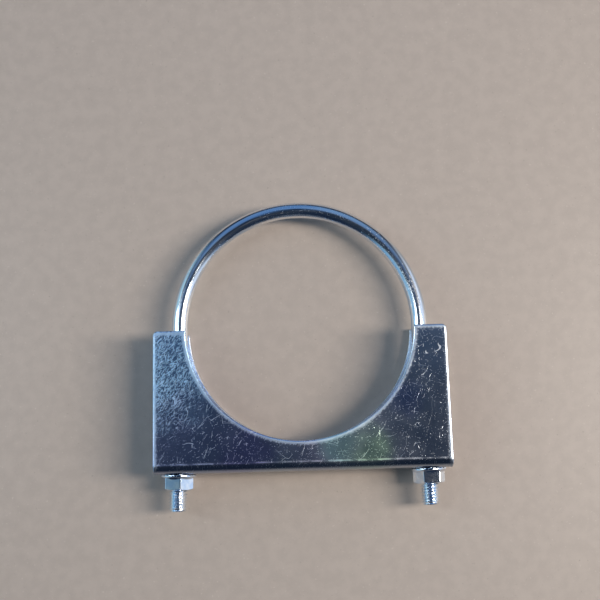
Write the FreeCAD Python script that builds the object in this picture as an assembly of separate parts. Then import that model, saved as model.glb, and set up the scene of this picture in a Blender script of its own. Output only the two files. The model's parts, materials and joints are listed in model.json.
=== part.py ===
"""Exhaust clamp: a threaded U-bolt, a bent steel saddle and two flange nuts, in millimetres.

The clamp lies flat. Z is the axis of the clamped pipe and points up, Y points to the crown of
the U-bolt, and X points to the right leg. The origin is on the pipe axis, halfway up the saddle.
"""
import FreeCAD, Part
import math
import os

from FreeCAD import Placement, Rotation, Vector

# Pipe, and the space that the clamp leaves for it
pipe_diameter = 114.3
pipe_clearance = 0.45

# U-bolt
rod_radius = 4.0
leg_splay_deg = 1.4
leg_end_y = -91.5

# Thread: 3/8 in, 16 turns per inch, right-hand
thread_pitch = 25.4 / 16
thread_major_radius = 4.72
thread_depth = 0.84
thread_length = 44.0
thread_tip_chamfer = 1.0
thread_runout = 2.2
thread_overlap = 0.8
thread_buried_step = 0.1
flank_slope = math.tan(math.radians(30.0))
full_circle_deg = 360.0

# Saddle
saddle_width = 26.0
sheet_thickness = 3.0
bend_outer_radius = 4.3
web_y = -72.7
arm_top_y = -1.2
half_length_at_web = 74.8
half_length_at_top = 73.9
arm_outer_corner_radius = 2.2
arm_inner_corner_radius = 1.0
edge_roll_radius = 0.9
leg_hole_radius = 5.55
leg_hole_roll_radius = 0.5

# Flange nuts
nut_across_flats = 14.29
nut_height = 7.8
nut_flange_radius = 8.95
nut_rim_height = 1.15
nut_rim_round = 0.4
nut_cone_height = 1.25
nut_cone_top_radius = 6.9
nut_end_face_radius = 6.75
nut_end_chamfer_deg = 30.0
nut_thread_clearance = 0.45
nut_countersink = 0.5
nut_web_gap = 0.06
serration_count = 24
serration_depth = 0.3
serration_width = 1.5
serration_inner_radius = 6.2
left_nut_flat_deg = 14.0
right_nut_flat_deg = 36.0

# Worked out from the driving dimensions
cradle_radius = pipe_diameter / 2 + pipe_clearance
ring_radius = cradle_radius + rod_radius
thread_root_radius = thread_major_radius - thread_depth
thread_crest_width = thread_pitch / 8
splay = math.radians(leg_splay_deg)
leg_x_at_origin = ring_radius / math.cos(splay)
leg_end_x = leg_x_at_origin - leg_end_y * math.tan(splay)
leg_hole_x = leg_x_at_origin - web_y * math.tan(splay)


def leg_placement(side):
    """Place a shape whose Z axis runs up the leg from its tip."""
    stand = Rotation(Vector(1, 0, 0), -90)
    lean = Rotation(Vector(0, 0, 1), side * leg_splay_deg)
    return Placement(Vector(side * leg_end_x, leg_end_y, 0), lean.multiply(stand))


def revolve(points):
    """Solid of revolution about Z through (radius, height) points."""
    corners = [Vector(radius, 0, height) for radius, height in points]
    corners.append(corners[0])
    section = Part.Face(Part.makePolygon(corners))
    return section.revolve(Vector(0, 0, 0), Vector(0, 0, 1), full_circle_deg)


def helix_turn(radius, height):
    """One right-hand turn of the thread's helix, starting on the X side at a height."""
    turn = Part.makeHelix(thread_pitch, thread_pitch, radius).Edges[0]
    turn.translate(Vector(0, 0, height))
    return turn


def screw(root_radius, crest_radius, crest_width, start, turns):
    """Threaded bar along Z, made face by face, with one turn of each flank at a time."""
    rise = (crest_radius - root_radius) * flank_slope
    profile = [
        (root_radius, 0.0),
        (crest_radius, rise),
        (crest_radius, rise + crest_width),
        (root_radius, 2 * rise + crest_width),
        (root_radius, thread_pitch),
    ]
    faces = []
    for index in range(turns):
        base = start + index * thread_pitch
        rails = [helix_turn(radius, base + height) for radius, height in profile]
        for lower, upper in zip(rails, rails[1:]):
            faces.append(Part.makeRuledSurface(lower, upper))
    for base in (start, start + turns * thread_pitch):
        axis = Part.makeLine(Vector(0, 0, base), Vector(0, 0, base + thread_pitch))
        faces.append(Part.makeRuledSurface(axis, helix_turn(root_radius, base)))
        corners = [Vector(0, 0, base)]
        corners += [Vector(radius, 0, base + height) for radius, height in profile]
        corners += [Vector(0, 0, base + thread_pitch), Vector(0, 0, base)]
        faces.append(Part.Face(Part.makePolygon(corners)))
    shell = Part.makeShell(faces)
    shell.sewShape()
    return Part.Solid(shell)


def threaded_end():
    """Threaded length of one leg, from its tip at the origin upward."""
    overshoot = 0.1
    turns = math.ceil(thread_length / thread_pitch) + 3
    bar = screw(
        thread_root_radius,
        thread_major_radius + overshoot,
        thread_crest_width - 2 * overshoot * flank_slope,
        -2 * thread_pitch,
        turns,
    )
    envelope = revolve([
        (0, 0),
        (thread_major_radius - thread_tip_chamfer, 0),
        (thread_major_radius, thread_tip_chamfer),
        (thread_major_radius, thread_length - thread_runout),
        (rod_radius - thread_buried_step, thread_length),
        (0, thread_length),
    ])
    return bar.common(envelope)


def make_u_bolt():
    """Half ring and two splayed legs with rolled threads, as one bar."""
    tangent_x = ring_radius * math.cos(splay)
    tangent_y = -ring_radius * math.sin(splay)
    plain_start = thread_length - thread_overlap
    plain_x = leg_end_x - plain_start * math.sin(splay)
    plain_y = leg_end_y + plain_start * math.cos(splay)
    left_start = Vector(-plain_x, plain_y, 0)
    right_start = Vector(plain_x, plain_y, 0)
    left_tangent = Vector(-tangent_x, tangent_y, 0)
    right_tangent = Vector(tangent_x, tangent_y, 0)
    path = Part.Wire([
        Part.makeLine(left_start, left_tangent),
        Part.Arc(left_tangent, Vector(0, ring_radius, 0), right_tangent).toShape(),
        Part.makeLine(right_tangent, right_start),
    ])
    section = Part.Wire(Part.makeCircle(rod_radius, left_start, left_tangent - left_start))
    bar = path.makePipeShell([section], True, True)
    thread = threaded_end()
    for side in (-1, 1):
        end = thread.copy()
        end.Placement = leg_placement(side)
        bar = bar.fuse(end)
    return bar


def rounded_corner(before, corner, after, radius):
    """Tangent arc that rounds a corner, and the points where it starts and ends."""
    to_before = (before - corner).normalize()
    to_after = (after - corner).normalize()
    half_angle = to_before.getAngle(to_after) / 2
    setback = radius / math.tan(half_angle)
    centre = corner + (to_before + to_after).normalize() * (radius / math.sin(half_angle))
    start = corner + to_before * setback
    end = corner + to_after * setback
    middle = centre + (corner - centre).normalize() * radius
    return Part.Arc(start, middle, end).toShape(), start, end


def flange_outline():
    """Flat outline of the saddle: tapered sides, rounded arm tips and the half-round cradle."""
    cradle_x = math.sqrt(cradle_radius ** 2 - arm_top_y ** 2)
    edges = []
    feet = {}
    cradle_ends = {}
    for side in (-1, 1):
        foot = Vector(side * half_length_at_web, web_y, 0)
        tip = Vector(side * half_length_at_top, arm_top_y, 0)
        inner = Vector(side * cradle_x, arm_top_y, 0)
        below = Vector(side * cradle_x, web_y, 0)
        outer_arc, outer_start, outer_end = rounded_corner(foot, tip, inner, arm_outer_corner_radius)
        inner_arc, inner_start, inner_end = rounded_corner(tip, inner, below, arm_inner_corner_radius)
        edges += [Part.makeLine(foot, outer_start), outer_arc]
        edges += [Part.makeLine(outer_end, inner_start), inner_arc]
        feet[side] = foot
        cradle_ends[side] = inner_end
    cradle = Part.Arc(cradle_ends[-1], Vector(0, -cradle_radius, 0), cradle_ends[1])
    edges.append(cradle.toShape())
    edges.append(Part.makeLine(feet[-1], feet[1]))
    return Part.Face(Part.Wire(Part.__sortEdges__(edges)))


def channel_block(inset, bend_radius):
    """Solid block with the channel's outer or inner outline, rounded along the two bends."""
    half_width = saddle_width / 2 - inset
    length = 2 * half_length_at_web + 2
    height = arm_top_y - web_y + 2 - inset
    corner = Vector(-length / 2, web_y + inset, -half_width)
    block = Part.makeBox(length, height, 2 * half_width, corner)
    bends = []
    for edge in block.Edges:
        box = edge.BoundBox
        if box.XLength > length / 2 and box.YMax < web_y + inset + 0.01:
            bends.append(edge)
    return block.makeFillet(bend_radius, bends)


def is_outer_outline(edge):
    """True for a cut edge of the blank on the outer skin of the channel."""
    box = edge.BoundBox
    if box.XLength > half_length_at_web and box.YLength < 1:
        return False
    if box.ZLength < 0.01:
        return abs(abs(box.ZMin) - saddle_width / 2) < 0.01
    reaches_outer_skin = box.YMin < web_y + 0.01 or max(box.ZMax, -box.ZMin) > saddle_width / 2 - 0.01
    at_end = max(box.XMax, -box.XMin) > half_length_at_web - 0.1
    return reaches_outer_skin and at_end and box.XLength < 1


def make_saddle():
    """Bent channel, trimmed to the flange outline, with two leg holes and rolled outer edges."""
    bend_inner_radius = bend_outer_radius - sheet_thickness
    channel = channel_block(0, bend_outer_radius).cut(channel_block(sheet_thickness, bend_inner_radius))
    outline = flange_outline().extrude(Vector(0, 0, saddle_width))
    outline.translate(Vector(0, 0, -saddle_width / 2))
    saddle = channel.common(outline)
    saddle = saddle.makeFillet(edge_roll_radius, [edge for edge in saddle.Edges if is_outer_outline(edge)])
    for side in (-1, 1):
        foot = Vector(side * leg_hole_x, web_y - 1, 0)
        hole = Part.makeCylinder(leg_hole_radius, sheet_thickness + 2, foot, Vector(0, 1, 0))
        saddle = saddle.cut(hole)
    rims = []
    for edge in saddle.Edges:
        box = edge.BoundBox
        if box.YMax < web_y + 0.01 and abs(box.XLength - 2 * leg_hole_radius) < 0.01:
            rims.append(edge)
    return saddle.makeFillet(leg_hole_roll_radius, rims)


def nut_body(flat_deg):
    """Hexagon on a conical flange, with the bearing face up at the origin."""
    corner_radius = nut_across_flats / math.sqrt(3)
    corners = []
    for index in range(7):
        angle = math.radians(flat_deg + 30 + 60 * index)
        corner = Vector(corner_radius * math.cos(angle), corner_radius * math.sin(angle), -nut_height)
        corners.append(corner)
    cone_top = -nut_rim_height - nut_cone_height
    hexagon = Part.Face(Part.makePolygon(corners)).extrude(Vector(0, 0, nut_height - nut_rim_height))
    chamfer_slope = math.tan(math.radians(nut_end_chamfer_deg))
    chamfer_drop = (nut_flange_radius - nut_end_face_radius) * chamfer_slope
    turned = revolve([
        (0, 0),
        (nut_flange_radius, 0),
        (nut_flange_radius, chamfer_drop - nut_height),
        (nut_end_face_radius, -nut_height),
        (0, -nut_height),
    ])
    flange = revolve([
        (0, 0),
        (nut_flange_radius, 0),
        (nut_flange_radius, -nut_rim_height),
        (nut_cone_top_radius, cone_top),
        (0, cone_top),
    ])
    rim = [edge for edge in flange.Edges if abs(edge.BoundBox.XMax - nut_flange_radius) < 0.01]
    rim = [edge for edge in rim if edge.BoundBox.ZLength < 0.01]
    flange = flange.makeFillet(nut_rim_round, rim)
    return hexagon.common(turned).fuse(flange)


def serrations():
    """Ratchet notches across the bearing face, steep on the side that resists loosening."""
    notches = []
    reach = nut_flange_radius + 1
    for index in range(serration_count):
        ramp = Part.makePolygon([
            Vector(serration_inner_radius, 0, 0),
            Vector(serration_inner_radius, serration_width, -serration_depth),
            Vector(serration_inner_radius, serration_width, 1),
            Vector(serration_inner_radius, 0, 1),
            Vector(serration_inner_radius, 0, 0),
        ])
        notch = Part.Face(ramp).extrude(Vector(reach - serration_inner_radius, 0, 0))
        notch.rotate(Vector(0, 0, 0), Vector(0, 0, 1), full_circle_deg * index / serration_count)
        notches.append(notch)
    return Part.makeCompound(notches)


def make_nut(side, flat_deg):
    """Flange nut on one leg, tapped to mesh with that leg's thread."""
    bearing_height = (web_y - leg_end_y) / math.cos(splay)
    bearing_height -= nut_web_gap + nut_flange_radius * math.sin(splay)
    nut = nut_body(flat_deg).cut(serrations())
    nut.translate(Vector(0, 0, bearing_height))
    tap_root = thread_root_radius + nut_thread_clearance
    tap_crest = thread_major_radius + nut_thread_clearance
    turns = math.ceil(bearing_height / thread_pitch) + 3
    nut = nut.cut(screw(tap_root, tap_crest, thread_crest_width, -2 * thread_pitch, turns))
    for end, direction in ((bearing_height, -1), (bearing_height - nut_height, 1)):
        wide = tap_crest + nut_countersink
        deep = end + direction * wide
        nut = nut.cut(revolve([(0, end), (wide, end), (0, deep)]))
    nut.Placement = leg_placement(side)
    return nut


os.makedirs("parts", exist_ok=True)
pieces = {
    "u_bolt": make_u_bolt(),
    "saddle": make_saddle(),
    "flange_nut_left": make_nut(-1, left_nut_flat_deg),
    "flange_nut_right": make_nut(1, right_nut_flat_deg),
}
for name, shape in pieces.items():
    shape.exportStep("parts/" + name + ".step")
    print(name, shape.isValid(), len(shape.Solids), round(shape.Volume, 1))
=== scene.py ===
import functools
import json
import math

import bmesh
import bpy
import numpy
from mathutils import Matrix, Vector


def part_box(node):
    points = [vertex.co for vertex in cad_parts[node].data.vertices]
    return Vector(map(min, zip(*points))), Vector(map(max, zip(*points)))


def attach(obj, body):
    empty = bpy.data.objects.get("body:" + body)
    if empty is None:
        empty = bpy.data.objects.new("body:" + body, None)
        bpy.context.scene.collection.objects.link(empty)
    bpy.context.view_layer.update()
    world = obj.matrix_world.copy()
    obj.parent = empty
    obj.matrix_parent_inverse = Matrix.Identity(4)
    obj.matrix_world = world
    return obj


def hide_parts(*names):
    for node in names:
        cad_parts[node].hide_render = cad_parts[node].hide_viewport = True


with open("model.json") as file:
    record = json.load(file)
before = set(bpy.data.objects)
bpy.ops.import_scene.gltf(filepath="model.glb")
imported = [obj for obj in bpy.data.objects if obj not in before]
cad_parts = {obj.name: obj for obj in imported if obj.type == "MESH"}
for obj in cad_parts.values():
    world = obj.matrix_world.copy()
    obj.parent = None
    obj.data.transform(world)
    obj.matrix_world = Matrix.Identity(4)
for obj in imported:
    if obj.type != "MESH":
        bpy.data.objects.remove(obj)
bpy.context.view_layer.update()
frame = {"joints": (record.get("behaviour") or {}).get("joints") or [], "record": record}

MM = 0.001
FULL_TURN = 2 * math.pi

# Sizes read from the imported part
mounts = {mount["name"]: mount for mount in frame["record"]["mounts"]}
joints = {joint["name"]: joint for joint in frame["joints"]}
bolt_low, bolt_high = (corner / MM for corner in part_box("u_bolt"))
saddle_low, saddle_high = (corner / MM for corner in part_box("saddle"))
nut_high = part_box("flange_nut_right")[1] / MM
cradle_radius = mounts["pipe_clamp"]["dims"]["r_mm"]
rod_radius = (bolt_high.y - cradle_radius) / 2
ring_radius = cradle_radius + rod_radius
left_axis = Vector(joints["left_nut_spin"]["axis"])
splay = math.atan2(left_axis.x, left_axis.y)
web_y = saddle_low.y
arm_top_y = saddle_high.y
half_width = saddle_high.z
half_length = saddle_high.x

# Thread of the legs: 3/8 in, 16 turns per inch, right-hand
pitch = 25.4 / 16
thread_major = bolt_high.z
thread_depth = 0.84
thread_root = thread_major - thread_depth
crest_half_width = pitch / 16
flank_width = thread_depth * math.tan(math.radians(30))
thread_phase = flank_width + crest_half_width
thread_length = 44.0
tip_chamfer = 1.0
thread_runout = 2.2
bar_columns = 72

# Legs
leg_end_y = bolt_low.y + (thread_major - tip_chamfer) * math.sin(splay)
leg_x_at_origin = ring_radius / math.cos(splay)
leg_end_x = leg_x_at_origin - leg_end_y * math.tan(splay)
leg_hole_x = leg_x_at_origin - web_y * math.tan(splay)

# Saddle
sheet_thickness = 3.0
bend_radius = 4.3
length_taper = 0.9
outer_corner_radius = 2.2
inner_corner_radius = 1.0
leg_hole_radius = 5.55
edge_roll_width = 0.95
edge_roll_width_at_corner = 0.75
edge_roll_growth = 0.2
edge_roll_depth = 0.7
hole_roll = 0.5
torn_depth = 1.4

# Flange nuts
across_flats = 14.29
nut_height = 7.8
flange_radius = nut_high.z
rim_height = 1.15
cone_height = 1.25
cone_top_radius = 6.9
end_face_radius = 6.75
end_chamfer_slope = math.tan(math.radians(30))
hex_corner_round = 0.4
nut_clearance = 0.45
countersink_radius = thread_major + nut_clearance + 0.5
bearing_inner_radius = 6.2
nut_web_gap = 0.06
tooth_count = 24
tooth_depth = 0.3
tooth_deg = 360 / tooth_count
tooth_start_deg = 3
tooth_face_deg = 0.6
tooth_land_deg = 4
tooth_inner_step = 0.15
flat_deg = {-1: 14.0, 1: 36.0}


# ---------------------------------------------------------------------------------------------
# Mesh building
# ---------------------------------------------------------------------------------------------


class Skin:
    """Points and faces of one piece, in millimetres, and the place of each point in its texture."""

    def __init__(self):
        self.points = []
        self.texture_places = []
        self.faces = []
        self.face_materials = []

    def point(self, place, texture_place):
        self.points.append(Vector(place))
        self.texture_places.append(Vector(texture_place))
        return len(self.points) - 1

    def face(self, corners, material=0):
        corners = list(dict.fromkeys(corners))
        if len(corners) > 2:
            self.faces.append(corners)
            self.face_materials.append(material)

    def strip(self, row, next_row, closed=False, material=0):
        """Faces between two rows of points."""
        count = len(row)
        for index in range(count if closed else count - 1):
            following = (index + 1) % count
            corners = [row[index], row[following], next_row[following], next_row[index]]
            self.face(corners, material)

    def ladder(self, row, far_row, steps, closed=False):
        """Faces that fill the space between two rows, in some steps."""
        previous = row
        for step in range(1, steps):
            share = step / steps
            middle = []
            for near, far in zip(row, far_row):
                if near == far:
                    middle.append(near)
                    continue
                place = self.points[near].lerp(self.points[far], share)
                texture_place = self.texture_places[near].lerp(self.texture_places[far], share)
                middle.append(self.point(place, texture_place))
            self.strip(previous, middle, closed)
            previous = middle
        self.strip(previous, far_row, closed)

    def piece(self, name, body, node, materials, sharp_deg=35):
        """The finished object, which stands for a CAD node and moves with its body."""
        mesh = bpy.data.meshes.new(name)
        mesh.from_pydata([place * MM for place in self.points], [], self.faces)
        mesh.polygons.foreach_set("material_index", self.face_materials)
        places = mesh.attributes.new("texture_place", "FLOAT_VECTOR", "POINT")
        for item, place in zip(places.data, self.texture_places):
            item.vector = place * MM
        for material in materials:
            mesh.materials.append(material)
        shell = bmesh.new()
        shell.from_mesh(mesh)
        loose = [vertex for vertex in shell.verts if not vertex.link_faces]
        bmesh.ops.delete(shell, geom=loose, context="VERTS")
        bmesh.ops.recalc_face_normals(shell, faces=shell.faces)
        shell.to_mesh(mesh)
        shell.free()
        mesh.shade_smooth()
        mesh.set_sharp_from_angle(angle=math.radians(sharp_deg))
        thing = bpy.data.objects.new(name, mesh)
        bpy.context.scene.collection.objects.link(thing)
        weights = thing.modifiers.new("even_normals", "WEIGHTED_NORMAL")
        weights.keep_sharp = True
        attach(thing, body)
        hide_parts(node)
        return thing


def eased(points, samples=3):
    """Outline with each corner rounded by its own setback, given as (across, along, setback)."""
    line = []
    for index, (across, along, setback) in enumerate(points):
        corner = Vector((across, along))
        if not setback:
            line.append(corner)
            continue
        before = Vector(points[index - 1][:2])
        after = Vector(points[(index + 1) % len(points)][:2])
        start = corner + (before - corner).normalized() * setback
        end = corner + (after - corner).normalized() * setback
        for sample in range(samples):
            share = sample / (samples - 1)
            line.append(start.lerp(corner, share).lerp(corner.lerp(end, share), share))
    return line


def leg_frame(side):
    """Matrix of a leg's own frame: Z runs up the leg from its tip and X leans with it."""
    lean = side * splay
    across = Vector((math.cos(lean), math.sin(lean), 0))
    under = Vector((0, 0, -1))
    up = Vector((-math.sin(lean), math.cos(lean), 0))
    tip = Vector((side * leg_end_x, leg_end_y, 0))
    columns = [axis.to_4d() for axis in (across, under, up, tip)]
    for axis in columns[:3]:
        axis.w = 0
    return Matrix(columns).transposed()


# ---------------------------------------------------------------------------------------------
# Thread
# ---------------------------------------------------------------------------------------------


def ridge_outline():
    """(share of a pitch, radius) along one ridge of the thread, from root to root."""
    flank_foot = crest_half_width + flank_width
    corners = [
        (-flank_foot, thread_root, 0.13),
        (-crest_half_width, thread_major, 0.07),
        (crest_half_width, thread_major, 0.07),
        (flank_foot, thread_root, 0.13),
    ]
    ends = [(-pitch / 2, thread_root, 0)]
    outline = eased(ends + corners + [(pitch / 2, thread_root, 0)])
    return [(point.x / pitch, point.y) for point in outline[1:-1]]


ridge = ridge_outline()
ridge_shares = [share for share, radius in ridge]
ridge_radii = [radius for share, radius in ridge]


def thread_radius(height, angle):
    """Radius of the thread at a height along the leg and an angle round it."""
    turns = (height - thread_phase) / pitch - angle / FULL_TURN
    return float(numpy.interp(turns, ridge_shares, ridge_radii, period=1))


def threaded_skin(skin, place, angles, low, high, radius_at, texture_at):
    """Thread between two heights, in rows that climb with the helix. Returns its two end rings."""
    snap = 0.03

    def point(height, angle):
        radius = radius_at(height, angle)
        local = Vector((radius * math.cos(angle), radius * math.sin(angle), height))
        return skin.point(place @ local, texture_at(local))

    low_ring = [point(low, angle) for angle in angles]
    high_ring = [point(high, angle) for angle in angles]
    rows = []
    first_turn = math.floor(low / pitch) - 2
    last_turn = math.ceil(high / pitch) + 2
    for turn in range(first_turn, last_turn):
        for share in ridge_shares:
            row = []
            for column, angle in enumerate(angles):
                height = (turn + share + angle / FULL_TURN) * pitch + thread_phase
                if height < low + snap:
                    row.append(low_ring[column])
                elif height > high - snap:
                    row.append(high_ring[column])
                else:
                    row.append(point(height, angle))
            rows.append(row)
    turn_rows = len(ridge_shares)
    for index in range(len(rows) - 1):
        skin.strip(rows[index], rows[index + 1])
        if index + 1 + turn_rows < len(rows):
            seam = [rows[index][-1], rows[index + turn_rows][0]]
            seam += [rows[index + 1 + turn_rows][0], rows[index + 1][-1]]
            skin.face(seam)
    return low_ring, high_ring


# ---------------------------------------------------------------------------------------------
# U-bolt
# ---------------------------------------------------------------------------------------------


def leg_radius(height, angle):
    """Surface of the threaded end: a chamfered tip, the thread, and its fading last turn."""
    thread = thread_radius(height, angle)
    fade_start = thread_length - thread_runout
    share = min(max((height - fade_start) / thread_runout, 0), 1)
    fade = share * share * (3 - 2 * share)
    faded = thread * (1 - fade) + rod_radius * fade
    return min(faded, thread_major - tip_chamfer + max(height, 0))


def bar_path():
    """Stations of the plain bar, left thread to right: place, inward direction, run along it."""
    tangent_height = (-ring_radius * math.sin(splay) - leg_end_y) / math.cos(splay)
    straight = tangent_height - thread_length
    straight_steps = 12
    arc_steps = 128
    arc_angle = math.pi + 2 * splay
    arc_length = arc_angle * ring_radius
    left = leg_frame(-1)
    right = leg_frame(1)
    stations = []
    for step in range(1, straight_steps):
        run = straight * step / straight_steps
        place = left @ Vector((0, 0, thread_length + run))
        stations.append((place, left.col[0].xyz, run))
    for step in range(arc_steps + 1):
        turned = math.pi + splay - arc_angle * step / arc_steps
        outward = Vector((math.cos(turned), math.sin(turned), 0))
        run = straight + arc_length * step / arc_steps
        stations.append((outward * ring_radius, -outward, run))
    for step in range(1, straight_steps):
        run = straight * step / straight_steps
        place = right @ Vector((0, 0, thread_length + straight - run))
        stations.append((place, -right.col[0].xyz, straight + arc_length + run))
    return stations


def bolt_tip(skin, ring, frame_of_leg):
    """Slightly dished end face of a leg."""
    dish = ((0.93, 0.0), (0.8, 0.1), (0.55, 0.24), (0.28, 0.32), (0.0, 0.34))
    centre = frame_of_leg @ Vector((0, 0, 0))
    up = frame_of_leg.col[2].xyz
    previous = ring
    for share, depth in dish:
        if share == 0:
            middle = skin.point(centre + up * depth, skin.texture_places[ring[0]])
            for index in range(len(ring)):
                skin.face([previous[index], previous[(index + 1) % len(ring)], middle])
            return
        row = []
        for index in ring:
            place = centre + (skin.points[index] - centre) * share + up * depth
            row.append(skin.point(place, skin.texture_places[index] * share))
        skin.strip(previous, row, closed=True)
        previous = row


def build_u_bolt(materials):
    """One bar: two threaded legs and the half ring between them."""
    skin = Skin()
    angles = [FULL_TURN * column / bar_columns for column in range(bar_columns)]
    path = bar_path()
    end_of_path = path[-1][2] + path[0][2]
    top_rings = {}
    for side in (-1, 1):
        place = leg_frame(side)

        def texture_at(local, side=side):
            run = local.z - thread_length if side < 0 else end_of_path + thread_length - local.z
            return Vector((run, -side * local.x, local.y))

        rings = threaded_skin(skin, place, angles, 0, thread_length, leg_radius, texture_at)
        bolt_tip(skin, rings[0], place)
        top_rings[side] = rings[1]
    rows = [top_rings[-1]]
    for place, inward, run in path:
        row = []
        for angle in angles:
            across = rod_radius * math.cos(angle)
            under = rod_radius * math.sin(angle)
            offset = inward * across + Vector((0, 0, -under))
            row.append(skin.point(place + offset, (run, across, under)))
        rows.append(row)
    half_turn = bar_columns // 2
    rows.append([top_rings[1][(half_turn - column) % bar_columns] for column in range(bar_columns)])
    for row, next_row in zip(rows, rows[1:]):
        skin.strip(row, next_row, closed=True)
    return skin.piece("bent_bar", "u_bolt", "u_bolt", materials, sharp_deg=50)


# ---------------------------------------------------------------------------------------------
# Flange nuts
# ---------------------------------------------------------------------------------------------


def hexagon_radius(angle_deg):
    """Distance from the nut's axis to the side of the hexagon, whose corners are rounded."""
    from_flat = abs((angle_deg + 30) % 60 - 30)
    apothem = across_flats / 2
    arc_centre = (apothem - hex_corner_round) / math.cos(math.radians(30))
    round_start = math.degrees(math.atan(arc_centre * math.sin(math.radians(30)) / apothem))
    if from_flat < round_start:
        return apothem / math.cos(math.radians(from_flat))
    off_corner = math.radians(30 - from_flat)
    beside = arc_centre * math.sin(off_corner)
    return arc_centre * math.cos(off_corner) + math.sqrt(hex_corner_round ** 2 - beside ** 2)


def tooth_drop(angle_deg):
    """Depth of the ratchet teeth in the bearing face, steep on the side that resists loosening."""
    stops_deg = [0, tooth_face_deg, tooth_land_deg, tooth_deg]
    drops = [tooth_depth, 0, 0, tooth_depth]
    return float(numpy.interp((angle_deg - tooth_start_deg) % tooth_deg, stops_deg, drops))


def nut_columns():
    """Angles, measured from a flat, of the nut's columns: the hexagon's and the teeth's."""
    found = set()
    for flat in range(6):
        for offset in (0, 6, 12, 18, 24, 28.6, 29.3, 30, 30.7, 31.4, 36, 42, 48, 54):
            found.add(round((flat * 60 + offset) % 360, 3))
    for tooth in range(tooth_count):
        for offset in (0, tooth_face_deg, tooth_land_deg):
            found.add(round((tooth * tooth_deg + tooth_start_deg + offset) % 360, 3))
    return sorted(found)


def nut_outline(angle_deg):
    """(radius, height) down the outside of the nut at one angle, from the bore to the bore."""
    side = hexagon_radius(angle_deg)
    drop = tooth_drop(angle_deg)
    cone_slope = cone_height / (flange_radius - cone_top_radius)
    cone_foot = -rim_height - (flange_radius - side) * cone_slope
    chamfer_top = -nut_height + (side - end_face_radius) * end_chamfer_slope
    return eased([
        (countersink_radius, 0, 0),
        (bearing_inner_radius, 0, 0),
        (bearing_inner_radius + tooth_inner_step, -drop, 0),
        (flange_radius, -drop, 0.3),
        (flange_radius, -rim_height, 0.35),
        (side, cone_foot, 0.3),
        (side, chamfer_top, 0.13),
        (end_face_radius, -nut_height, 0.13),
        (countersink_radius, -nut_height, 0),
    ], samples=4)


def build_nut(side, name, body, materials):
    """Flange nut on one leg, with a tapped bore that meshes with the leg's thread."""
    skin = Skin()
    bearing_height = (web_y - leg_end_y) / math.cos(splay)
    bearing_height -= nut_web_gap + flange_radius * math.sin(splay)
    end_height = bearing_height - nut_height
    columns_deg = nut_columns()
    angles = [math.radians(column + flat_deg[side]) for column in columns_deg]
    place = leg_frame(side)

    def bore_radius(height, angle):
        thread = thread_radius(height, angle) + nut_clearance
        to_end = min(bearing_height - height, height - end_height)
        return max(thread, countersink_radius - to_end)

    def texture_at(local):
        return Vector((local.x, local.y, local.z - bearing_height))

    end_ring, bearing_ring = threaded_skin(
        skin, place, angles, end_height, bearing_height, bore_radius, texture_at
    )
    outlines = [nut_outline(column) for column in columns_deg]
    rows = [bearing_ring]
    for index in range(1, len(outlines[0]) - 1):
        row = []
        for angle, outline in zip(angles, outlines):
            radius, height = outline[index]
            across = radius * math.cos(angle)
            along = radius * math.sin(angle)
            local = Vector((across, along, height + bearing_height))
            row.append(skin.point(place @ local, texture_at(local)))
        rows.append(row)
    rows.append(end_ring)
    for row, next_row in zip(rows, rows[1:]):
        skin.strip(row, next_row, closed=True)
    return skin.piece(name, body, body, materials, sharp_deg=32)


# ---------------------------------------------------------------------------------------------
# Saddle: a flat blank, pressed into a channel. Places on it are (x, run, depth): run is measured
# along the outer skin from the middle of the web, and depth goes into the sheet.
# ---------------------------------------------------------------------------------------------

web_half = half_width - bend_radius
bend_run = bend_radius * math.pi / 2
bend_top_run = web_half + bend_run
bend_top_y = web_y + bend_radius
side_lean = math.atan(length_taper / (arm_top_y - web_y))
bend_steps = 10
web_half_steps = 6


def on_sheet(x, run, depth):
    """Place in the part's frame of a point of the sheet."""
    side = -1 if run < 0 else 1
    beyond = abs(run) - web_half
    if beyond <= 0:
        return Vector((x, web_y + depth, run))
    if beyond >= bend_run:
        return Vector((x, bend_top_y + beyond - bend_run, side * (half_width - depth)))
    angle = beyond / bend_radius
    radius = bend_radius - depth
    y = bend_top_y - radius * math.cos(angle)
    z = side * (web_half + radius * math.sin(angle))
    return Vector((x, y, z))


def end_x(run):
    """Half length of the sheet, which tapers slightly towards the arms."""
    height = on_sheet(0, abs(run), 0).y - web_y
    return half_length - height * math.tan(side_lean)


def run_of(y):
    """Run of a place at a height on a flange."""
    return y - bend_top_y + bend_top_run


def steps_between(start, end, count):
    """Evenly spaced numbers after start, up to and including end."""
    return [start + (end - start) * (step + 1) / count for step in range(count)]


# Grid of the web and the bends. To the right of the middle: plain sheet, then the leg hole. Down
# from the upper flange: the bend, then half of the web. The other halves are their mirror images.
hole_columns = 2 * web_half_steps
plain_columns = 24
right_columns = steps_between(0, leg_hole_x - web_half, plain_columns)
right_columns += steps_between(leg_hole_x - web_half, leg_hole_x + web_half, hole_columns)
upper_rows = [bend_top_run]
upper_rows += steps_between(bend_top_run, web_half, bend_steps)
upper_rows += steps_between(web_half, 0, web_half_steps)
grid_columns = [-x for x in reversed(right_columns)] + [0] + right_columns
grid_rows = upper_rows + [-run for run in reversed(upper_rows[:-1])]
first_web_row = bend_steps
last_web_row = bend_steps + hole_columns


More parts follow.
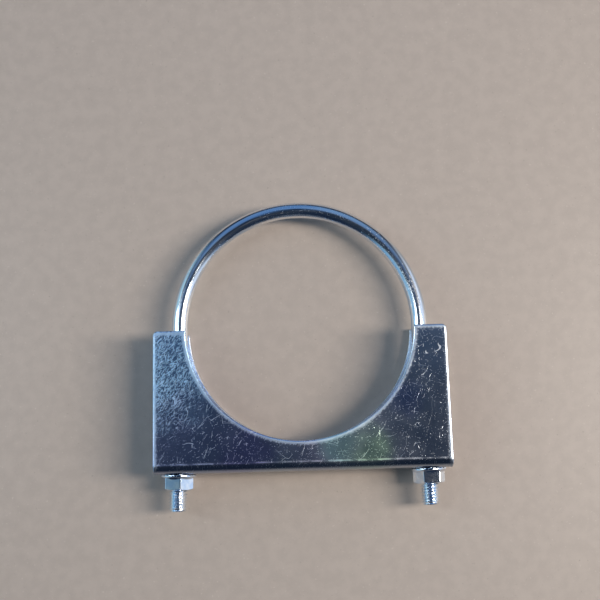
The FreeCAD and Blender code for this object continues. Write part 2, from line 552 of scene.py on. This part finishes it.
def quarter_outline():
    """Cut edge of a quarter of the blank, from the cradle's lowest point to the end of the web.

    Each point is (x, run, inward x, inward run). Also returns the places in that list of the
    end of the inner corner and of the top of the bend.
    """
    top_steps, corner_steps, side_steps, inner_steps = 5, 6, 24, 4
    cradle_steps = top_steps + corner_steps + side_steps + 1 + len(right_columns) - inner_steps
    outline = []

    inner_y = arm_top_y - inner_corner_radius
    inner_x = math.sqrt((cradle_radius + inner_corner_radius) ** 2 - inner_y ** 2)
    cradle_end = math.atan2(inner_y, inner_x)
    for turned in [-math.pi / 2] + steps_between(-math.pi / 2, cradle_end, cradle_steps):
        across, up = math.cos(turned), math.sin(turned)
        outline.append((cradle_radius * across, run_of(cradle_radius * up), across, up))
    for turned in steps_between(math.pi + cradle_end, math.pi / 2, inner_steps):
        across, up = math.cos(turned), math.sin(turned)
        x = inner_x + inner_corner_radius * across
        y = inner_y + inner_corner_radius * up
        outline.append((x, run_of(y), -across, -up))
    junction = len(outline) - 1

    outer_y = arm_top_y - outer_corner_radius
    side_at_outer = end_x(run_of(outer_y))
    outer_x = side_at_outer - outer_corner_radius / math.cos(side_lean)
    for x in steps_between(inner_x, outer_x, top_steps):
        outline.append((x, run_of(arm_top_y), 0, -1))
    for turned in steps_between(math.pi / 2, side_lean, corner_steps):
        across, up = math.cos(turned), math.sin(turned)
        x = outer_x + outer_corner_radius * across
        y = outer_y + outer_corner_radius * up
        outline.append((x, run_of(y), -across, -up))
    last_run = outline[-1][1]
    for run in steps_between(last_run, bend_top_run, side_steps) + upper_rows[1:]:
        outline.append((end_x(run), run, -1, 0))
    bend_top = junction + top_steps + corner_steps + side_steps
    corner_centre = Vector((inner_x, run_of(inner_y)))
    return outline, junction, bend_top, corner_centre


def rolled_edge(width, depth, steps):
    """(inset, depth) down the drawn-in outer edge of a cut, from the skin to the cut's wall."""
    places = []
    for step in range(steps + 1):
        angle = math.pi / 2 * step / steps
        places.append((width * (1 - math.sin(angle)), depth * (1 - math.cos(angle))))
    return places


def rim_section(roll_width):
    """(inset, depth) across the cut edge: drawn-in outer edge, sheared band, torn band, burr."""
    thickness = sheet_thickness
    section = [(roll_width * 1.12, 0)] + rolled_edge(roll_width, edge_roll_depth, 6)
    section += [(0, 1.35), (0.05, 1.5), (0.1, thickness - 0.3)]
    section += [(0.15, thickness - 0.1), (0.27, thickness), (0.45, thickness)]
    return section


def hole_section():
    """(inset, depth) across the wall of a leg hole, in the same bands as the cut edge."""
    thickness = sheet_thickness
    section = [(hole_roll * 1.15, 0)] + rolled_edge(hole_roll, hole_roll, 4)
    section += [(0, 1.4), (0.06, 1.55), (0.12, thickness - 0.2)]
    section += [(0.3, thickness), (0.5, thickness)]
    return section


def cut_material(depth):
    """Material slot of the part of a cut's wall from a depth on: 0 plate, 1 torn edge."""
    return 1 if depth >= torn_depth else 0


def saddle_rim(skin):
    """The whole cut edge of the blank.

    Returns a function that finds its points, and the two places from the quarter's outline.
    """
    outline, junction, bend_top, corner_centre = quarter_outline()
    last = len(outline) - 1
    order = [(1, 1, index) for index in range(last)]
    order += [(1, -1, index) for index in range(last, 0, -1)]
    order += [(-1, -1, index) for index in range(last)]
    order += [(-1, 1, index) for index in range(last, 0, -1)]
    columns = []
    places = {}
    for side, face, index in order:
        x, run, inward_x, inward_run = outline[index]
        from_corner = (Vector((x, run)) - corner_centre).length
        spare = max(0, from_corner - inner_corner_radius)
        roll = min(edge_roll_width, edge_roll_width_at_corner + edge_roll_growth * spare)
        column = []
        for inset, depth in rim_section(roll):
            at_x = side * (x + inward_x * inset)
            at_run = face * (run + inward_run * inset)
            column.append(skin.point(on_sheet(at_x, at_run, depth), (at_x, at_run, depth)))
        places[(side, face, index)] = column
        columns.append(column)
    depths = [depth for inset, depth in rim_section(edge_roll_width)]
    for column, next_column in zip(columns, columns[1:] + columns[:1]):
        for row, depth in enumerate(depths[:-1]):
            corners = [column[row], column[row + 1], next_column[row + 1], next_column[row]]
            skin.face(corners, cut_material(depth))

    def edge_point(side, face, index, skin_side):
        """Point of the rim where it meets the outer skin (0) or the inner skin (-1)."""
        # Neighbouring quarters share their first and last points
        if index == 0:
            side = face
        if index == last:
            face = -side
        return places[(side, face, index)][skin_side]

    return edge_point, junction, bend_top


def leg_hole_rim(skin, side):
    """Wall of one leg hole. Returns its ring on the outer skin and its ring on the inner skin."""
    count = 8 * web_half_steps
    section = hole_section()
    rings = []
    for inset, depth in section:
        ring = []
        for step in range(count):
            angle = FULL_TURN * step / count
            x = side * leg_hole_x + (leg_hole_radius + inset) * math.cos(angle)
            run = (leg_hole_radius + inset) * math.sin(angle)
            ring.append(skin.point(on_sheet(x, run, depth), (x, run, depth)))
        rings.append(ring)
    for ring, next_ring, (inset, depth) in zip(rings, rings[1:], section):
        skin.strip(ring, next_ring, closed=True, material=cut_material(depth))
    return rings[0], rings[-1]


def web_grid(skin, edge_point, bend_top, skin_side, depth):
    """Function that finds the grid's points on one skin. Its ends are the rim's own points."""
    made = {}

    def grid_point(column, row):
        if column < 0 or column >= len(grid_columns):
            side = -1 if column < 0 else 1
            face = 1 if row < len(upper_rows) else -1
            index = bend_top + (row if face > 0 else len(grid_rows) - 1 - row)
            return edge_point(side, face, index, skin_side)
        if (column, row) not in made:
            place = (grid_columns[column], grid_rows[row], depth)
            made[(column, row)] = skin.point(on_sheet(*place), place)
        return made[(column, row)]

    return grid_point


def fill_web(skin, grid_point):
    """Web and bends on one skin, apart from a square round each leg hole."""
    for column in range(-1, len(grid_columns)):
        from_end = min(column, len(grid_columns) - 2 - column)
        for row in range(len(grid_rows) - 1):
            in_web = first_web_row <= row < last_web_row
            if in_web and 0 <= from_end < hole_columns:
                continue
            corners = [grid_point(column, row), grid_point(column + 1, row)]
            corners += [grid_point(column + 1, row + 1), grid_point(column, row + 1)]
            skin.face(corners)


def fill_round_hole(skin, grid_point, side, ring):
    """Sheet between a leg hole's ring and its square, both anticlockwise from the +X side."""
    left = 0 if side < 0 else len(grid_columns) - 1 - hole_columns
    right = left + hole_columns
    steps = range(hole_columns)
    square = [grid_point(right, last_web_row - step) for step in steps]
    square += [grid_point(right - step, first_web_row) for step in steps]
    square += [grid_point(left, first_web_row + step) for step in steps]
    square += [grid_point(left + step, last_web_row) for step in steps]
    square = square[web_half_steps:] + square[:web_half_steps]
    skin.ladder(ring, square, steps=4, closed=True)


def fill_flange(skin, edge_point, grid_point, face, skin_side, junction, bend_top):
    """Flange on one skin, in rungs from the cradle out to the arm tops, the sides and the bend."""

    def rim(side, indices):
        return [edge_point(side, face, index, skin_side) for index in indices]

    row = 0 if face > 0 else len(grid_rows) - 1
    cradle = rim(-1, range(junction, 0, -1)) + rim(1, range(junction + 1))
    around = rim(-1, range(junction, bend_top + 1))
    around += [grid_point(column, row) for column in range(len(grid_columns))]
    around += rim(1, range(bend_top, junction - 1, -1))
    skin.ladder(cradle, around, steps=7)


def build_saddle(materials):
    """Channel with a half-round cradle cut in both flanges and two leg holes in its web."""
    skin = Skin()
    edge_point, junction, bend_top = saddle_rim(skin)
    hole_rings = {side: leg_hole_rim(skin, side) for side in (-1, 1)}
    for skin_side, depth in ((0, 0), (-1, sheet_thickness)):
        grid_point = web_grid(skin, edge_point, bend_top, skin_side, depth)
        fill_web(skin, grid_point)
        for side in (-1, 1):
            fill_round_hole(skin, grid_point, side, hole_rings[side][skin_side])
        for face in (-1, 1):
            fill_flange(skin, edge_point, grid_point, face, skin_side, junction, bend_top)
    return skin.piece("saddle_plate", "saddle", "saddle", materials, sharp_deg=40)


# ---------------------------------------------------------------------------------------------
# Materials: bright zinc plate with tinted film, rolling or drawing grain, and handling scratches
# ---------------------------------------------------------------------------------------------


class Shader:
    """Node tree of one material or of the world, with short names for the nodes used here."""

    def __init__(self, owner):
        owner.use_nodes = True
        self.owner = owner
        self.tree = owner.node_tree

    def feed(self, socket, value):
        """Link a socket to another, or set its number or colour."""
        if isinstance(value, bpy.types.NodeSocket):
            self.tree.links.new(value, socket)
        else:
            socket.default_value = value

    def node(self, kind, inputs, **settings):
        made = self.tree.nodes.new(kind)
        for name, value in settings.items():
            setattr(made, name, value)
        for name, value in inputs.items():
            self.feed(made.inputs[name], value)
        return made

    def math(self, operation, *values):
        made = self.node("ShaderNodeMath", {}, operation=operation)
        for socket, value in zip(made.inputs, values):
            self.feed(socket, value)
        return made.outputs[0]

    def fold(self, operation, values):
        """One value from several, by an operation on two that is taken from left to right."""
        return functools.reduce(lambda first, second: self.math(operation, first, second), values)

    def product(self, *values):
        return self.fold("MULTIPLY", values)

    def most(self, *values):
        return self.fold("MAXIMUM", values)

    def least(self, *values):
        return self.fold("MINIMUM", values)

    def total(self, *terms):
        """Sum of values, each given with its weight."""
        return self.fold("ADD", [self.math("MULTIPLY", value, weight) for value, weight in terms])

    def vector(self, operation, *values):
        made = self.node("ShaderNodeVectorMath", {}, operation=operation)
        for socket, value in zip(made.inputs, values):
            self.feed(socket, value)
        return made.outputs["Value" if operation in ("DOT_PRODUCT", "LENGTH") else "Vector"]

    def fade(self, value, start, end, low=0.0, high=1.0):
        """Smooth change from low at start to high at end, held beyond them."""
        sizes = {"Value": value, "From Min": start, "From Max": end, "To Min": low, "To Max": high}
        return self.node("ShaderNodeMapRange", sizes, interpolation_type="SMOOTHSTEP").outputs[0]

    def noise(self, place, scale, detail=2.0, distortion=0.0):
        """Cloudy pattern around a half, with about so many lumps to a metre."""
        sizes = {"Vector": place, "Scale": scale, "Detail": detail, "Distortion": distortion}
        return self.node("ShaderNodeTexNoise", sizes).outputs["Fac"]

    def colour(self, factor, first, second):
        """Mix from the first colour to the second."""
        made = self.node("ShaderNodeMix", {"Factor": factor}, data_type="RGBA")
        self.feed(made.inputs[6], first)
        self.feed(made.inputs[7], second)
        return made.outputs[2]

    def place(self, stretch=(1, 1, 1), shift=(0, 0, 0), turn_deg=0):
        """The point's place in its texture, in metres, turned about the third axis and stretched."""
        found = self.node("ShaderNodeAttribute", {}, attribute_name="texture_place").outputs["Vector"]
        turned = {"Vector": found, "Rotation": (0, 0, math.radians(turn_deg))}
        made = self.node("ShaderNodeMapping", turned).outputs[0]
        sizes = {"Vector": made, "Scale": stretch, "Location": shift}
        return self.node("ShaderNodeMapping", sizes).outputs[0]

    def dashes(self, cell, length, width, seed, share=1.0, lean_deg=0, spread_deg=180):
        """Short scratches, one to a cell, that lean within a range: 1 on a scratch, 0 off it."""
        most_bow = 0.12 / cell
        place = self.place(shift=(seed, seed * 0.7, 0))
        sizes = {"Vector": place, "Scale": 1 / cell}
        cells = self.node("ShaderNodeTexVoronoi", sizes, voronoi_dimensions="2D").outputs
        offset = self.vector("SUBTRACT", place, cells["Position"])
        random = self.node("ShaderNodeSeparateColor", {"Color": cells["Color"]}).outputs
        turn = self.product(random["Red"], math.radians(spread_deg))
        angle = self.math("SUBTRACT", math.radians(spread_deg / 2 - lean_deg), turn)
        turned = {"Vector": offset, "Angle": angle}
        turned = self.node("ShaderNodeVectorRotate", turned, rotation_type="Z_AXIS").outputs[0]
        parts = self.node("ShaderNodeSeparateXYZ", {"Vector": turned}).outputs
        bow = self.product(self.math("SUBTRACT", random["Green"], 0.5), most_bow)
        bowed = self.product(parts["X"], parts["X"], bow)
        across = self.math("ABSOLUTE", self.math("ADD", parts["Y"], bowed))
        along = self.math("ABSOLUTE", parts["X"])
        reach = self.product(random["Green"], length)
        line = self.fade(across, width * 0.3, width, 1, 0)
        ends = self.fade(along, self.product(reach, 0.5), reach, 1, 0)
        kept = self.math("LESS_THAN", random["Blue"], share)
        return self.product(line, ends, kept)

    def hairs(self, size, width, seed):
        """Long curving hairline scratches, broken up in patches: 1 on a scratch, 0 off it."""
        place = self.place(shift=(seed, -seed, seed * 0.3))
        level = self.noise(place, 1 / size, 1.5, 0.6)
        off = self.math("ABSOLUTE", self.math("SUBTRACT", level, 0.5))
        line = self.fade(off, width * 0.3, width, 1, 0)
        patches = self.noise(place, 2.6 / size, 1.0)
        return self.product(line, self.fade(patches, 0.52, 0.6))

    def zinc(self, colour, roughness, height, depth):
        """Finish the material as a bright metal, with bumps of a depth in metres."""
        bump = self.node("ShaderNodeBump", {"Strength": 1.0, "Distance": depth, "Height": height})
        metal = self.tree.nodes["Principled BSDF"].inputs
        metal["Metallic"].default_value = 1.0
        self.feed(metal["Base Color"], colour)
        self.feed(metal["Roughness"], roughness)
        self.feed(metal["Normal"], bump.outputs["Normal"])
        return self.owner


# Patches of the plate's film: x, run and reach in millimetres, and tint. On the upper flange they
# are blue, purple, grey, cyan, green and blue, and on the lower flange green and violet.
low_run = run_of(-cradle_radius - 5)
film_patches = [
    (-66, run_of(-20), 40, (0.48, 0.74, 1.0, 1)),
    (-30, low_run, 22, (0.62, 0.58, 0.95, 1)),
    (6, low_run, 20, (0.74, 0.74, 0.90, 1)),
    (19, low_run + 2, 15, (0.66, 0.96, 0.95, 1)),
    (34, low_run - 1, 17, (0.66, 0.94, 0.70, 1)),
    (52, run_of(-38), 12, (0.58, 0.66, 0.95, 1)),
    (-30, -low_run, 24, (0.62, 0.86, 0.70, 1)),
    (34, -low_run, 26, (0.66, 0.66, 0.95, 1)),
]
slate_film = (0.78, 0.84, 0.93, 1)
left_end_film = (0.60, 0.66, 0.95, 1)
worn_edge_colour = (0.66, 0.83, 1.0, 1)
rubbed_colour = (0.52, 0.78, 1.0, 1)
scratch_colour = (0.88, 0.94, 0.98, 1)
# Painted shade: dark colour mixed over the web and the bends so that they reflect darker.
painted_bend_shade_colour = (0.30, 0.34, 0.40, 1)


class SheetShader(Shader):
    """Node tree of the saddle's plate. Its masks are 1 on what they are named for and 0 off it."""

    def __init__(self, owner):
        super().__init__(owner)
        self.here = self.place()
        parts = self.node("ShaderNodeSeparateXYZ", {"Vector": self.here}).outputs
        self.x = parts["X"]
        self.run = self.math("ABSOLUTE", parts["Y"])
        self.from_bend = self.math("SUBTRACT", self.run, (bend_top_run + 0.5) * MM)
        self.wave = self.noise(self.here, 70, 1)
        self.specks = self.noise(self.place((1, 2.6, 1), turn_deg=-48), 560, 4)

    def patch(self, x, run, reach):
        """Ragged patch round a place on the sheet, all in millimetres."""
        off = self.vector("SUBTRACT", self.here, (x * MM, run * MM, 0))
        distance = self.vector("LENGTH", off)
        ragged = self.product(self.math("SUBTRACT", self.wave, 0.5), reach * MM * 0.9)
        return self.fade(self.math("ADD", distance, ragged), reach * MM * 0.2, reach * MM, 1, 0)

    def film(self):
        """Tint of the film: slate, bluer towards the left end, with its patches."""
        left_end = self.fade(self.x, -0.058, -0.020, 1, 0)
        tint = self.colour(left_end, slate_film, left_end_film)
        for x, run, reach, patch_tint in film_patches:
            tint = self.colour(self.patch(x, run, reach), tint, patch_tint)
        return tint

    def rubbed_arm(self):
        """Rubbed left arm: clouds of dense short marks that lean the same way."""
        left = self.fade(self.x, -0.066, -0.040, 1, 0)
        up_arm = self.fade(self.run, run_of(-60) * MM, run_of(-26) * MM, 0.10, 1)
        clouds = self.fade(self.noise(self.here, 230, 2), 0.35, 0.65, 0.4, 1)
        layers = []
        for seed in (5.71, 6.37, 8.11, 9.53, 11.29, 12.61):
            layers.append(self.dashes(0.0021, 0.0017, 0.00014, seed, 0.9, lean_deg=48, spread_deg=64))
        mottle = self.fade(self.specks, 0.38, 0.66)
        strokes = self.total((self.most(*layers), 0.8), (mottle, 0.24))
        return self.product(left, up_arm, clouds, strokes)

    def worn_edge(self):
        """Worn band along the cut edges of the flanges."""
        height = self.math("SUBTRACT", self.run, run_of(0) * MM)
        from_axis = self.node("ShaderNodeCombineXYZ", {"X": self.x, "Y": height}).outputs[0]
        from_axis = self.vector("LENGTH", from_axis)
        from_cradle = self.math("SUBTRACT", from_axis, cradle_radius * MM)
        from_end = self.math("SUBTRACT", half_length * MM, self.math("ABSOLUTE", self.x))
        from_top = self.math("SUBTRACT", arm_top_y * MM, height)
        from_edge = self.least(from_cradle, from_end, from_top)
        ragged = self.product(self.math("SUBTRACT", self.specks, 0.5), 0.0022)
        band = self.fade(self.math("ADD", from_edge, ragged), 0.0009, 0.0030, 1, 0)
        return self.product(band, self.fade(from_edge, 0.0004, 0.0010, 0.3, 1))

    def bend_line(self):
        """Thin broken line where each bend begins."""
        line = self.fade(self.math("ABSOLUTE", self.from_bend), 0.0001, 0.0007, 0.7, 0)
        return self.product(line, self.fade(self.noise(self.here, 210, 3), 0.3, 0.65, 0.2, 1))

    # Painted shade mask: 1 on the web and the bends, 0 on the flanges; it darkens their colour in
    # place of a dark reflection.
    def painted_shade_on_web_and_bends(self):
        return self.fade(self.from_bend, -0.0012, -0.0002, 1, 0)

    def scratches(self):
        """Handling scratches all over, from long to tiny, and long hairlines."""
        marks = self.most(
            self.dashes(0.0080, 0.0050, 0.00010, 0.31, 0.6, lean_deg=40, spread_deg=120),
            self.product(0.8, self.dashes(0.0046, 0.0026, 0.00008, 1.77, 0.6, 30, 110)),
            self.product(0.7, self.dashes(0.0026, 0.0011, 0.00007, 2.93, 0.6, 50, 120)),
            self.dashes(0.0013, 0.0005, 0.00010, seed=7.43, share=0.5),
            self.hairs(0.022, 0.0026, seed=0.53),
            self.hairs(0.013, 0.0032, seed=4.10),
        )
        handling = self.fade(self.noise(self.here, 60, 2), 0.35, 0.65, 0.5, 1)
        return self.product(marks, handling)


def plate_material():
    """Zinc plated sheet: fine rolled grain, a tinted film in broad patches, wear and scratches, and
    painted shade that darkens the web and the bends.
    """
    look = SheetShader(bpy.data.materials.new("zinc_plated_sheet"))
    grain = look.noise(look.place((1, 2.2, 1), turn_deg=35), 1300, 3)
    rub = look.rubbed_arm()
    edge = look.worn_edge()
    scratches = look.scratches()
    roughness = look.total(
        (look.fade(look.x, 0.02, 0.06, 0.125, 0.10), 1),
        (look.fade(grain, 0.35, 0.7), 0.035),
        (look.fade(look.noise(look.here, 120, 3), 0.35, 0.7), 0.03),
        (look.patch(24, low_run, 40), 0.08),
        (rub, 0.66),
        (scratches, 0.30),
        (look.most(edge, look.bend_line()), 0.22),
    )
    colour = look.colour(look.product(edge, 0.6), look.film(), worn_edge_colour)
    colour = look.colour(look.product(rub, 0.7), colour, rubbed_colour)
    colour = look.colour(look.product(scratches, 0.6), colour, scratch_colour)
    # Painted shade: the web and the bends are darkened towards a dark slate so that they reflect
    # darker.
    colour = look.colour(look.product(look.painted_shade_on_web_and_bends(), 0.75), colour, painted_bend_shade_colour)
    height = look.total((grain, 0.30), (look.wave, 2.0), (scratches, -0.3))
    return look.zinc(colour, roughness, height, 0.00003)


def cut_edge_material():
    """Plated sheared edge: dull, with fine tearing marks across the thickness."""
    look = Shader(bpy.data.materials.new("zinc_plated_cut_edge"))
    tears = look.noise(look.place((1, 1, 0.08)), 2600, 3)
    patches = look.fade(look.noise(look.place(), 300, 2), 0.35, 0.7)
    colour = look.colour(patches, (0.70, 0.76, 0.82, 1), (0.86, 0.89, 0.92, 1))
    roughness = look.fade(tears, 0.3, 0.7, 0.24, 0.48)
    return look.zinc(colour, roughness, tears, 0.00006)


def bar_material():
    """Zinc plated drawn bar: lines and streaks along its length, and scuffs from the bending die."""
    look = Shader(bpy.data.materials.new("zinc_plated_bar"))
    lines = look.noise(look.place((0.03, 1, 1)), 1900, 3)
    streaks = look.noise(look.place((0.06, 1, 1)), 620, 3)
    flecks = look.fade(look.noise(look.place((0.5, 1, 1)), 1700, 2), 0.60, 0.68)
    patches = look.fade(look.noise(look.place((0.4, 1, 1)), 95, 2), 0.42, 0.6)
    scuffs = look.product(flecks, patches)
    tint = look.fade(streaks, 0.35, 0.65)
    colour = look.colour(tint, (0.52, 0.66, 0.84, 1), (0.94, 0.96, 0.98, 1))
    roughness = look.total((look.fade(lines, 0.3, 0.7, 0.10, 0.22), 1), (scuffs, 0.16))
    height = look.total((lines, 1.0), (streaks, 4.0), (scuffs, -0.5))
    return look.zinc(colour, roughness, height, 0.00002)


def nut_material():
    """Zinc plated cold-formed nut: smooth satin flats with small dents and wrench marks."""
    look = Shader(bpy.data.materials.new("zinc_plated_nut"))
    satin = look.noise(look.place(), 1800, 3)
    dents = look.noise(look.place((1, 1, 0.6)), 700, 1)
    patches = look.fade(look.noise(look.place(), 260, 2), 0.35, 0.65)
    colour = look.colour(patches, (0.66, 0.78, 0.94, 1), (0.88, 0.92, 0.97, 1))
    roughness = look.fade(satin, 0.3, 0.7, 0.05, 0.09)
    roughness = look.math("ADD", roughness, look.fade(dents, 0.64, 0.72, 0, 0.07))
    height = look.total((satin, 0.05), (dents, 0.20))
    return look.zinc(colour, roughness, height, 0.00001)


# ---------------------------------------------------------------------------------------------
# Stage: pale floor, a dim cool room, a bright window to the right and a smaller one to the left
# ---------------------------------------------------------------------------------------------


def board_material():
    """Pale board, faintly mottled, with dark and light fibres."""
    look = Shader(bpy.data.materials.new("pale_board"))
    found = look.node("ShaderNodeTexCoord", {}).outputs["Object"]
    mottle = look.fade(look.noise(found, 160, 4), 0.3, 0.7)
    fibres = look.noise(found, 900, 2)
    colour = look.colour(mottle, (0.50, 0.425, 0.365, 1), (0.54, 0.46, 0.395, 1))
    colour = look.colour(look.fade(fibres, 0.68, 0.80, 0, 0.45), colour, (0.22, 0.17, 0.13, 1))
    colour = look.colour(look.fade(fibres, 0.34, 0.22, 0, 0.4), colour, (0.78, 0.70, 0.62, 1))
    board = look.tree.nodes["Principled BSDF"].inputs
    look.feed(board["Base Color"], colour)
    board["Roughness"].default_value = 0.40
    board["Specular IOR Level"].default_value = 0.6
    return look.owner


def add_floor(material):
    """Plain pale board that the clamp lies on."""
    reach = 3.0
    gap = 0.00002
    under = saddle_low.z * MM - gap
    corners = [(-reach, -reach), (reach, -reach), (reach, reach), (-reach, reach)]
    mesh = bpy.data.meshes.new("floor")
    mesh.from_pydata([(x, y, under) for x, y in corners], [], [(0, 1, 2, 3)])
    mesh.materials.append(material)
    floor = bpy.data.objects.new("floor", mesh)
    bpy.context.scene.collection.objects.link(floor)


def add_window(name, away, elevation_deg, side, ahead, width, height, power, colour):
    """Soft light at one side, aimed at the clamp."""
    rise = math.radians(elevation_deg)
    place = Vector((side * math.cos(rise), ahead, math.sin(rise))) * away
    light = bpy.data.lights.new(name, "AREA")
    light.shape = "RECTANGLE"
    light.size = width
    light.size_y = height
    light.energy = power
    light.color = colour
    lamp = bpy.data.objects.new(name, light)
    lamp.location = place
    lamp.rotation_euler = place.to_track_quat("Z", "Y").to_euler()
    bpy.context.scene.collection.objects.link(lamp)


# Walls of the room: direction of the middle, degrees from it where the wall starts and ends to
# fade, and colour. They are the far wall and ceiling, the right, the left and the near wall.
room_walls = [
    ((0.0, 0.67, 0.74), 12, 42, (0.14, 0.26, 0.47, 1)),
    ((1.0, 0.0, 0.10), 25, 50, (0.74, 0.82, 0.95, 1)),
    ((-1.0, 0.0, 0.10), 34, 54, (0.34, 0.54, 0.68, 1)),
    ((0.0, -1.0, 0.0), 5, 22, (0.16, 0.16, 0.17, 1)),
]
room_dark = (0.016, 0.026, 0.046, 1)
backdrop = (0.62, 0.58, 0.54, 1)


def add_room():
    """Dim room round the table. The camera sees a plain pale backdrop in its place."""
    world = bpy.data.worlds.new("room")
    bpy.context.scene.world = world
    look = Shader(world)
    look.tree.nodes.clear()
    direction = look.node("ShaderNodeTexCoord", {}).outputs["Generated"]
    colour = room_dark
    for centre, inner_deg, outer_deg, wall in room_walls:
        level = look.vector("DOT_PRODUCT", direction, Vector(centre).normalized())
        outer, inner = math.cos(math.radians(outer_deg)), math.cos(math.radians(inner_deg))
        colour = look.colour(look.fade(level, outer, inner), colour, wall)
    seen = look.node("ShaderNodeLightPath", {}).outputs["Is Camera Ray"]
    colour = look.colour(seen, colour, backdrop)
    background = look.node("ShaderNodeBackground", {"Color": colour, "Strength": 1.0})
    output = look.node("ShaderNodeOutputWorld", {})
    look.feed(output.inputs["Surface"], background.outputs[0])


def add_camera():
    """View from above, nearly square to the floor."""
    tilt_deg = 7.38
    turn_deg = -1.58
    lens = bpy.data.cameras.new("camera")
    lens.sensor_width = 36.0
    lens.lens = 64.85
    camera = bpy.data.objects.new("camera", lens)
    camera.location = (-0.0013, -0.0574, 0.5544)
    camera.rotation_euler = (math.radians(tilt_deg), 0, math.radians(turn_deg))
    bpy.context.scene.collection.objects.link(camera)
    bpy.context.scene.camera = camera


build_saddle([plate_material(), cut_edge_material()])
build_u_bolt([bar_material()])
nut = nut_material()
build_nut(-1, "flanged_nut_left", "flange_nut_left", [nut])
build_nut(1, "flanged_nut_right", "flange_nut_right", [nut])

add_floor(board_material())
add_room()
add_window(
    "right_window", away=1.8, elevation_deg=47.5, side=1, ahead=0.0,
    width=0.32, height=1.15, power=26.0, colour=(1.0, 0.91, 0.825),
)
add_window(
    "left_window", away=1.2, elevation_deg=50, side=-1, ahead=0.12,
    width=0.18, height=0.90, power=2.3, colour=(0.84, 0.93, 1.0),
)
add_camera()
bpy.context.scene.view_settings.view_transform = "Standard"
